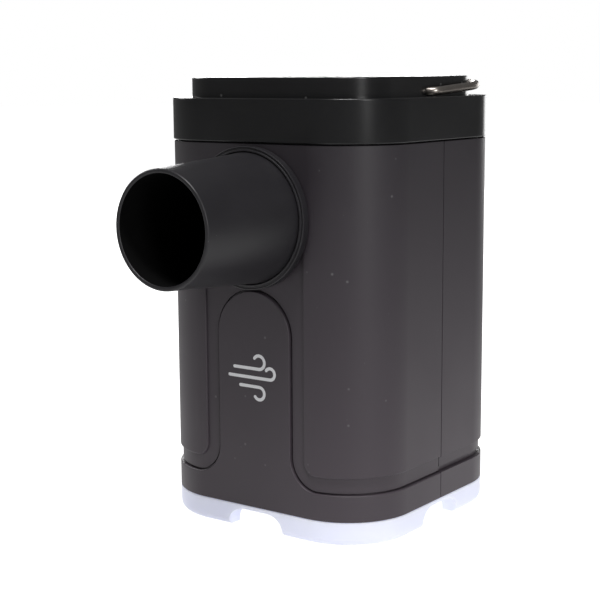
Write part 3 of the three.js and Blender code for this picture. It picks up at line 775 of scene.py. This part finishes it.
def make_collar():
    low, top, out = COLLAR_BOTTOM, COLLAR_TOP, COLLAR_HALF
    inner = CAP_HALF + 0.12
    ledge = top - 1.6
    profile = [
        (REBATE_HALF + 0.3, low),
        *fillet(out - 0.25, low + 0.25, 0.25, -90, 0, 3),
        *fillet(out - 0.32, top - 0.32, 0.32, 0, 90, 6),
        *fillet(inner + 0.15, top - 0.15, 0.15, 90, 180, 3),
        (inner, ledge),
        (REBATE_HALF + 0.3, ledge),
    ]
    settle(swept(profile), "collar", "housing", "gloss_black", GLOSS, "top_collar")


WELL_R = 19.5
WELL_FLOOR = 97.3
DUCT_R = 12.6
BAIL_Z = 96.5
CAP_SCREW_AT = 16.6


def make_cap():
    bottom = CAP_LOW.z
    body = prism(square(CAP_HALF), bottom, CAP_TOP)
    ease(body, 0.4, 4)
    lip = prism(square(CAVITY_HALF - 0.3), bottom, COLLAR_TOP - 1.9)
    join(body, lip)
    cut(body, prism(square(CAP_HALF - 2), bottom - 1, CAP_TOP - 1.8))
    well = lathe([(WELL_R + 1.2, WELL_FLOOR - 1.8), (WELL_R + 1.2, CAP_TOP - 1)], 80, capped=True)
    duct = lathe([(DUCT_R + 1, bottom), (DUCT_R + 1, WELL_FLOOR - 1)], 64, capped=True)
    join(body, well, duct)
    bore = [
        (DUCT_R, bottom - 1),
        (DUCT_R, WELL_FLOOR),
        (WELL_R, WELL_FLOOR),
        (WELL_R, CAP_TOP - 0.35),
        (WELL_R + 0.35, CAP_TOP),
        (WELL_R + 0.6, CAP_TOP + 0.4),
    ]
    cut(body, lathe(bore, 80, capped=True))
    for side in (-1, 1):
        pivot = lathe([(1.05, -3), (1.05, 3)], 32, capped=True)
        across = Matrix.Rotation(math.pi / 2, 4, "Y")
        pivot.data.transform(Matrix.Translation((side * CAP_HALF, 0, BAIL_Z)) @ across)
        screw_hole = moved(lathe([(1.2, bottom - 1), (1.2, CAP_TOP)], 24, capped=True), side * CAP_SCREW_AT)
        cut(body, pivot, screw_hole)
    settle(body, "cap", "housing", "gloss_black", GLOSS, "top_cap")


def make_grille():
    low, high = CAP_TOP - 1.4, CAP_TOP - 0.3
    outer = WELL_R - 0.15
    slots = []
    for inner_r, outer_r, count, bar in ((3.0, 5.6, 6, 1.3), (6.9, 9.9, 12, 1.2), (11.2, 14.4, 18, 1.2)):
        for i in range(count):
            centre = TURN * i / count
            reach = math.pi / count
            a, b = bar / 2 / outer_r, bar / 2 / inner_r
            outline = arc(0, 0, outer_r, centre - reach + a, centre + reach - a, 8)
            outline += list(reversed(arc(0, 0, inner_r, centre - reach + b, centre + reach - b, 6)))
            slots.append(outline)
    disc = lathe(
        [(outer - 0.8, low), (outer - 0.8, WELL_FLOOR + 0.3), (outer, WELL_FLOOR + 0.3), (outer, high - 0.3),
         (outer - 0.3, high), (2.0, high), (2.0, low)],
        96,
    )
    hub = lathe([(2.4, low), (2.4, high - 0.1), (1.6, high + 0.15), (0.6, high + 0.25)], 32, capped=True)
    join(disc, hub)
    cut(disc, prisms(slots, low - 1, high + 1))
    ease(disc, 0.12, 2, 40)
    settle(disc, "inlet_guard", "housing", "nozzle_black", NOZZLE, "inlet_grille")


# ---- Bail ----

WIRE_R = 0.95
BAIL_HALF = 27.6
BAIL_CORNER = 13.3
BAIL_BEND = 2.0
BAIL_END = 21.8
BAIL_TILT = math.radians(3.5)


def bail_route():
    """The wire's centre line in its own plane: in from one pivot, round the back, and out at the other."""
    quarter = math.pi / 2
    pin = BAIL_HALF - BAIL_BEND
    turn = BAIL_HALF - BAIL_CORNER
    route = [(BAIL_END, 0.0)]
    route += arc(pin, BAIL_BEND, BAIL_BEND, -quarter, 0, 10)
    route += arc(turn, turn, BAIL_CORNER, 0, quarter, 28)
    route += [(-x, y) for x, y in reversed(route)]
    return route


def make_bail():
    route = bail_route()
    steps = 24
    loops = []
    for i, (x, y) in enumerate(route):
        before, after = route[max(i - 1, 0)], route[min(i + 1, len(route) - 1)]
        along = Vector((after[0] - before[0], after[1] - before[1], 0)).normalized()
        across = Vector((along.y, -along.x, 0))
        loop = []
        for k in range(steps):
            a = TURN * k / steps
            loop.append(Vector((x, y, 0)) + WIRE_R * (math.cos(a) * across + math.sin(a) * Vector((0, 0, 1))))
        loops.append(loop)
    wire = rings(loops)
    ease(wire, 0.2, 3, 60)
    wire.data.transform(Matrix.Translation((0, 0, BAIL_Z)) @ Matrix.Rotation(BAIL_TILT, 4, "X"))
    settle(wire, "wire_bail", "bail", "steel_wire", WIRE, "carry_bail", angle=50)


# ---- Outlet ----

NOZZLE_TIP_R = 12.3
NOZZLE_LIP = 0.95
NOZZLE_ROOT_R = 14.1
NOZZLE_BORE_R = 12.6
BEZEL_FRONT = FRONT_LOW.y - BEZEL_LOW.y


def make_nozzle():
    back = -3.3
    tip_bore = NOZZLE_TIP_R - NOZZLE_LIP
    reach = NOZZLE_REACH
    profile = [
        (15.9, back - 1.4),
        (15.9, back),
        (NOZZLE_ROOT_R, back),
        (NOZZLE_ROOT_R, BEZEL_FRONT - 0.1),
        (NOZZLE_ROOT_R - 0.12, BEZEL_FRONT + 0.25),
        *fillet(NOZZLE_TIP_R - 0.4, reach - 0.4, 0.4, 0, 90, 6),
        *fillet(tip_bore + 0.35, reach - 0.35, 0.35, 90, 180, 6),
        (NOZZLE_BORE_R, BEZEL_FRONT),
        (NOZZLE_BORE_R, back - 1.4),
    ]
    tube = aimed(lathe(profile, 128), NOZZLE_Z, -1)
    settle(tube, "nozzle_tube", "housing", "nozzle_black", NOZZLE, "outlet_nozzle")
    # Faces inside the bore get the painted-shade copy of the nozzle finish.
    tube.data.materials.append(BORE_PAINTED_SHADE)
    axis = Vector((0, AXIS_Y, NOZZLE_Z)) * MM
    for face in tube.data.polygons:
        out = face.center - axis
        if abs(face.normal.y) < 0.3 and out.x * face.normal.x + out.z * face.normal.z < 0:
            face.material_index = 1
    inner = NOZZLE_ROOT_R + 0.16
    bezel = [
        (BEZEL_R - 0.7, 0.05),
        (BEZEL_R - 0.7, 0.35),
        (BEZEL_R, 0.4),
        (BEZEL_R, BEZEL_FRONT - 0.32),
        (BEZEL_R - 0.06, BEZEL_FRONT - 0.22),
        (BEZEL_R - 0.2, BEZEL_FRONT - 0.16),
        (BEZEL_R - 0.35, BEZEL_FRONT - 0.3),
        (inner + 0.5, BEZEL_FRONT - 0.3),
        (inner + 0.4, BEZEL_FRONT - 0.06),
        (inner + 0.3, BEZEL_FRONT),
        (inner + 0.12, BEZEL_FRONT),
        (inner, BEZEL_FRONT - 0.12),
        (inner, 0.05),
    ]
    ring = aimed(lathe(bezel, 128), NOZZLE_Z, -1)
    settle(ring, "nozzle_trim", "housing", "nozzle_black", NOZZLE, "nozzle_bezel")


# ---- Lamp base ----

FOOT_RECESS = 4.3
ARCH_TOP = 4.4
ARCH_FLAT = 3.2
ARCH_HALF = 7.4
ARCH_SHOULDER = 0.8
SPIGOT_TOP = 9.3


def arch_outline():
    """The gap between two feet: a low arch with elliptical shoulders."""
    steps = 12
    shoulder = []
    for i in range(steps + 1):
        a = i * math.pi / 2 / steps
        across, up = (ARCH_HALF - ARCH_FLAT) * math.cos(a), (ARCH_TOP - ARCH_SHOULDER) * math.sin(a)
        shoulder.append((ARCH_FLAT + across, ARCH_SHOULDER + up))
    return [(-ARCH_HALF, -1.0), (ARCH_HALF, -1.0), *shoulder, *[(-x, z) for x, z in reversed(shoulder)]]


def make_diffuser():
    top = SKIRT_BOTTOM - 0.1
    edge = 1.6
    profile = [*fillet(HALF - edge, edge, edge, -90, 0, 8), (HALF, top - 0.15), (HALF - 0.15, top)]
    body = swept(profile, capped=True)
    recess = prism(square(HALF - 4), -1, FOOT_RECESS)
    ease(recess, 0.8, 3)
    cut(body, recess)
    reach = HALF + 2
    along = facing(arch_outline(), -reach, reach)
    across = facing(arch_outline(), -reach, reach)
    across.data.transform(Matrix.Rotation(math.pi / 2, 4, "Z"))
    cut(body, along, across)
    corners = [(x, y) for x in (-BASE_SCREW_AT, BASE_SCREW_AT) for y in (-BASE_SCREW_AT, BASE_SCREW_AT)]
    for x, y in corners:
        join(body, moved(lathe([(4.0, 0.5), (4.4, 0.9), (4.4, top - 0.4)], 40, capped=True), x, y))
    ease(body, 0.3, 3, 40)
    outer, inner, low = CAVITY_HALF - 0.4, CAVITY_HALF - 1.8, top - 0.3
    join(body, swept([(outer, low), (outer, SPIGOT_TOP), (inner, SPIGOT_TOP), (inner, low)]))
    hole = [(3.3, -1), (3.1, 0.5), (2.8, 0.8), (2.8, 2.7), (1.5, 2.7), (1.5, 10)]
    for x, y in corners:
        cut(body, moved(lathe(hole, 40, capped=True), x, y))
    settle(body, "lamp_base", "housing", "frosted_white", FROST_PAINTED_GLOW, "lamp_diffuser")


# ---- Rear controls ----


def make_button(node, body, radius):
    z = centre_z(node)
    low, high = box_mm(node)
    proud = high.y - REAR_HIGH.y
    back = low.y - REAR_HIGH.y
    profile = [
        (1.4, back),
        (1.4, -3.8),
        (radius + 1, -3.8),
        (radius + 1, -3.3),
        (radius, -3.3),
        (radius, proud - 0.35),
        (radius - 0.1, proud - 0.14),
        (radius - 0.4, proud),
        (radius * 0.8, proud),
        (radius * 0.5, proud - 0.12),
        (radius * 0.2, proud - 0.2),
    ]
    button = aimed(lathe(profile, 72, capped=True), z, 1)
    name = node.replace("_button", "_key")
    settle(button, name, body, "soft_black", SOFT, node)


INK_THICK = 0.03


def print_mark(name, outlines, depth, z, body, back=False):
    """Raised ink: outlines drawn upright and centred on a height, a hair proud of the surface."""
    mark = prisms(outlines, -INK_THICK, 0)
    upright = Matrix.Rotation(math.pi / 2, 4, "X")
    turn = Matrix.Rotation(math.pi if back else 0.0, 4, "Z")
    mark.data.transform(Matrix.Translation((0, depth, z)) @ turn @ upright)
    settle(mark, name, body, None, INK)


def stroke(points, width):
    """A line of constant width along points, with round ends."""
    left, right = [], []
    count = len(points)
    for i, (x, y) in enumerate(points):
        a, b = points[max(i - 1, 0)], points[min(i + 1, count - 1)]
        length = math.hypot(b[0] - a[0], b[1] - a[1])
        nx, ny = -(b[1] - a[1]) / length, (b[0] - a[0]) / length
        left.append((x + nx * width / 2, y + ny * width / 2))
        right.append((x - nx * width / 2, y - ny * width / 2))

    def cap(centre, towards):
        angle = math.atan2(towards[1] - centre[1], towards[0] - centre[0])
        return arc(*centre, width / 2, angle, angle - math.pi, 6)[1:-1]

    return left + cap(points[-1], left[-1]) + list(reversed(right)) + cap(points[0], right[0])


def wind_mark():
    """Three air-flow strokes, each a level line that curls over at its end."""
    outlines = []
    for start, end, level, curl in ((-5.2, 1.6, 2.0, 1.5), (-6.6, 4.6, 0.0, 1.25), (-3.6, 1.6, -2.0, -1.4)):
        quarter = math.pi / 2
        side = 1 if curl > 0 else -1
        radius = abs(curl)
        line = [(start + (end - start) * i / 6, level) for i in range(7)]
        bend = arc(end, level + side * radius, radius, -side * quarter, side * (-quarter + 4.1), 14)[1:]
        outlines.append(stroke(line + bend, 0.72))
    return outlines


def power_mark(size):
    ring = [(size * math.cos(a), size * math.sin(a)) for a in
            [math.radians(125) + math.radians(290) * i / 24 for i in range(25)]]
    return [stroke(ring, 0.34), stroke([(0, size * 0.2), (0, size * 1.15)], 0.34)]


def lamp_mark(size):
    marks = [circle(size * 0.42, 24)]
    for degrees in range(0, 360, 45):
        x, y = math.cos(math.radians(degrees)), math.sin(math.radians(degrees))
        marks.append(stroke([(size * reach * x, size * reach * y) for reach in (0.7, 1.1)], 0.3))
    return marks


def make_controls():
    make_button("power_button", "power_key", POWER_KEY_R)
    make_button("lamp_button", "lamp_key", LAMP_KEY_R)
    rear = HALF + 0.6
    print_mark("power_symbol", power_mark(1.5), rear - 0.13, centre_z("power_button"), "power_key", back=True)
    print_mark("lamp_symbol", lamp_mark(1.3), rear - 0.13, centre_z("lamp_button"), "lamp_key", back=True)
    print_mark("flow_symbol", wind_mark(), -HALF - 0.03, SKIRT_BOTTOM + 29.5, "housing")
    lens = facing(rectangle(*LENS_SIZE, 0.95), CAVITY_HALF, HALF - 0.1, centre_z("indicator_lens"))
    ease(lens, 0.2, 3)
    settle(lens, "battery_lights", "housing", "smoked_lens", LENS, "indicator_lens")
    flap = facing(rectangle(*FLAP_SIZE, 3.0, 12), HALF - FLAP_THICK, HALF, centre_z("usb_cover"))
    ease(flap, 0.25, 3)
    plug = facing(rectangle(3.7, 1.0, 0.9), HALF - 2, HALF - 1, centre_z("usb_cover"))
    grip = facing(rectangle(2.4, 0.45, 0.4), HALF - 0.35, HALF + 1, centre_z("usb_cover") - 2.6)
    join(flap, plug)
    cut(flap, grip)
    settle(flap, "port_cover", "port_flap", "gasket_rubber", RUBBER, "usb_cover")
    low, high = box_mm("usb_socket")
    back, front = low.y - AXIS_Y, high.y - AXIS_Y
    socket = facing(rectangle(4.47, 1.63, 1.55, 10), back, front, centre_z("usb_socket"))
    cut(socket, facing(rectangle(4.17, 1.33, 1.25, 10), back + 0.8, front + 1, centre_z("usb_socket")))
    join(socket, facing(rectangle(3.3, 0.35, 0.1, 2), back + 0.2, front - 0.8, centre_z("usb_socket")))
    ease(socket, 0.06, 2)
    settle(socket, "charging_socket", "housing", "nickel", NICKEL, "usb_socket")


HEAD_HEIGHTS = {"base": 1.5, "volute": 1.3, "cap": 1.0, "motor": 1.1}


def make_screws():
    for node in sorted(frame["nodes"]):
        if "_screw_" not in node:
            continue
        low, high = box_mm(node)
        x, y = (low.x + high.x) / 2, (low.y + high.y) / 2 - AXIS_Y
        head = (high.x - low.x) / 2
        length = high.z - low.z
        up = node.startswith("base_")
        tall = HEAD_HEIGHTS[node.split("_")[0]]
        shank = head * 0.5
        dome = [(0.12, 0), (head * 0.45, 0.02), (head * 0.75, 0.18), (head * 0.94, tall * 0.45)]
        profile = [*dome, (head, tall - 0.1), (head, tall), (shank, tall)]
        pitch, depth = 0.5, shank * 0.2
        z = tall + 0.3
        while z < length - 1.0:
            profile += [(shank - depth, z), (shank, z + pitch / 2)]
            z += pitch
        profile += [(shank - depth, length - 0.8), (0.15, length)]
        body = lathe(profile, 28, capped=True)
        for turn in (0, math.pi / 2):
            slot = block(-head * 0.55, head * 0.55, -head * 0.12, head * 0.12, -1, tall * 0.6)
            cut(body, moved(slot, turn=turn + 0.4))
        flip = Matrix.Identity(4) if up else Matrix.Rotation(math.pi, 4, "X")
        body.data.transform(Matrix.Translation((x, y, low.z if up else high.z)) @ flip)
        settle(body, "fitted_" + node, "housing", "screw_steel", SCREW, node, angle=28)


SLOT_MATERIALS = {
    "satin_black": SATIN, "nozzle_black": NOZZLE, "gloss_black": GLOSS, "soft_black": SOFT,
    "inner_black": INNER, "blade_black": BLADE, "gasket_rubber": RUBBER, "smoked_lens": LENS,
    "led_yellow": LED, "cell_blue": CELL, "steel_wire": WIRE, "screw_steel": SCREW, "motor_steel": MOTOR,
    "nickel": NICKEL, "frosted_white": FROST_PAINTED_GLOW, "filter_foam": FOAM, "board_green": GREEN,
    "board_white": WHITE_BOARD,
}


def dress_frame():
    """Gives each CAD node that still shows the finish of its slot."""
    slots = {entry["node"]: entry["material_slot"] for entry in frame["record"]["subparts"]}
    for node, obj in frame["nodes"].items():
        if obj.hide_render:
            continue
        obj.data.materials.clear()
        obj.data.materials.append(SLOT_MATERIALS[slots[node]])


# ---- Studio ----

VIEW_AZIMUTH = math.radians(36.24)
VIEW_PITCH = math.radians(9.223)
VIEW_ROLL = math.radians(-0.357)
VIEW_DISTANCE = 329.9
AIM = Vector((-5.6, -4.9, 48.2))


def make_camera():
    data = bpy.data.cameras.new("camera")
    data.lens = 84.66
    data.sensor_width = 36.0
    camera = bpy.data.objects.new("camera", data)
    out = Vector((
        math.sin(VIEW_AZIMUTH) * math.cos(VIEW_PITCH),
        -math.cos(VIEW_AZIMUTH) * math.cos(VIEW_PITCH),
        math.sin(VIEW_PITCH),
    ))
    camera.location = (AIM + Vector((0, AXIS_Y, 0)) + out * VIEW_DISTANCE) * MM
    look = out.to_track_quat("Z", "Y").to_matrix().to_4x4()
    camera.rotation_euler = (look @ Matrix.Rotation(VIEW_ROLL, 4, "Z")).to_euler()
    bpy.context.scene.collection.objects.link(camera)
    bpy.context.scene.camera = camera


LIGHTS_AIM_Z = 50
# Name, azimuth, elevation, distance, width, height, power
LIGHTS = [
    ("overhead", 30, 72, 900, 320, 150, 5.5),
    ("corner", 64, 21, 900, 170, 420, 2.4),
    ("back_left", -142, 10, 900, 300, 260, 2.1),
    ("rear", 188, 5, 700, 260, 200, 0.45),
    ("left", -95, 30, 800, 200, 300, 2.1),
]


def soft_light(name, azimuth, elevation, distance, width, height, energy):
    data = bpy.data.lights.new(name, "AREA")
    data.shape = "RECTANGLE"
    data.size = width * MM
    data.size_y = height * MM
    data.energy = energy
    light = bpy.data.objects.new(name, data)
    a, e = math.radians(azimuth), math.radians(elevation)
    out = Vector((math.sin(a) * math.cos(e), -math.cos(a) * math.cos(e), math.sin(e)))
    light.location = (Vector((0, AXIS_Y, LIGHTS_AIM_Z)) + out * distance) * MM
    light.rotation_euler = out.to_track_quat("Z", "Y").to_euler()
    bpy.context.scene.collection.objects.link(light)


def make_world():
    world = bpy.data.worlds.new("studio")
    bpy.context.scene.world = world
    world.use_nodes = True
    nodes, links = world.node_tree.nodes, world.node_tree.links
    nodes.clear()
    out = nodes.new("ShaderNodeOutputWorld")
    seen = nodes.new("ShaderNodeBackground")
    seen.inputs["Color"].default_value = (1, 1, 1, 1)
    lit = nodes.new("ShaderNodeBackground")
    lit.inputs["Color"].default_value = (1, 1, 1, 1)
    lit.inputs["Strength"].default_value = 0.135
    path = nodes.new("ShaderNodeLightPath")
    mix = nodes.new("ShaderNodeMixShader")
    links.new(path.outputs["Is Camera Ray"], mix.inputs[0])
    links.new(lit.outputs[0], mix.inputs[1])
    links.new(seen.outputs[0], mix.inputs[2])
    links.new(mix.outputs[0], out.inputs["Surface"])


FLOOR_GLOW = 0.97
# Floor glow seen by all but camera rays: a painted pool of light round the object, standing in for light off
# the table.
PAINTED_GLOW_FAR = 0.05
PAINTED_GLOW_NEAR = 0.6
PAINTED_POOL_CENTRE = (0.03, 0.06, 0.0)
PAINTED_POOL_REACH = 0.35


def make_floor():
    bm = bmesh.new()
    bmesh.ops.create_circle(bm, cap_ends=True, radius=4.0, segments=96)
    floor = piece("floor", bm)
    material, shader, w = start_material("pale_floor", Roughness=0.7, Specular_IOR_Level=0.1)
    noise = w.node("ShaderNodeTexNoise", Vector=w.place(), Scale=30.0, Detail=3.0)
    w.feed(shader.inputs["Base Color"], w.blend(noise.outputs[0], (0.5, 0.5, 0.5, 1), (0.56, 0.56, 0.56, 1)))
    seen = w.node("ShaderNodeLightPath").outputs["Is Camera Ray"]
    away = w.node("ShaderNodeVectorMath", {"operation": "DISTANCE"})
    w.feed(away.inputs[0], w.place())
    away.inputs[1].default_value = PAINTED_POOL_CENTRE
    # Painted pool of light: the glow to other rays is strong near the object and fades outwards; camera rays
    # see an even white glow.
    painted_pool = w.math("POWER", w.span(away.outputs["Value"], 0.0, PAINTED_POOL_REACH, 1.0, 0.0), 2.0)
    painted_pool_glow = w.span(painted_pool, 0, 1, PAINTED_GLOW_FAR, PAINTED_GLOW_NEAR)
    glow = w.node("ShaderNodeEmission", Strength=w.span(seen, 0, 1, painted_pool_glow, FLOOR_GLOW))
    both = w.node("ShaderNodeAddShader")
    w.feed(both.inputs[0], shader.outputs[0])
    w.feed(both.inputs[1], glow.outputs[0])
    w.feed(material.node_tree.nodes["Material Output"].inputs["Surface"], both.outputs[0])
    floor.data.materials.append(material)
    floor.location.z = -0.0002


def make_studio():
    make_camera()
    make_world()
    make_floor()
    for light in LIGHTS:
        soft_light(*light)
    view = bpy.context.scene.view_settings
    view.view_transform = "Standard"


make_studio()
make_shells()
make_collar()
make_cap()
make_grille()
make_bail()
make_nozzle()
make_diffuser()
make_controls()
make_screws()
dress_frame()
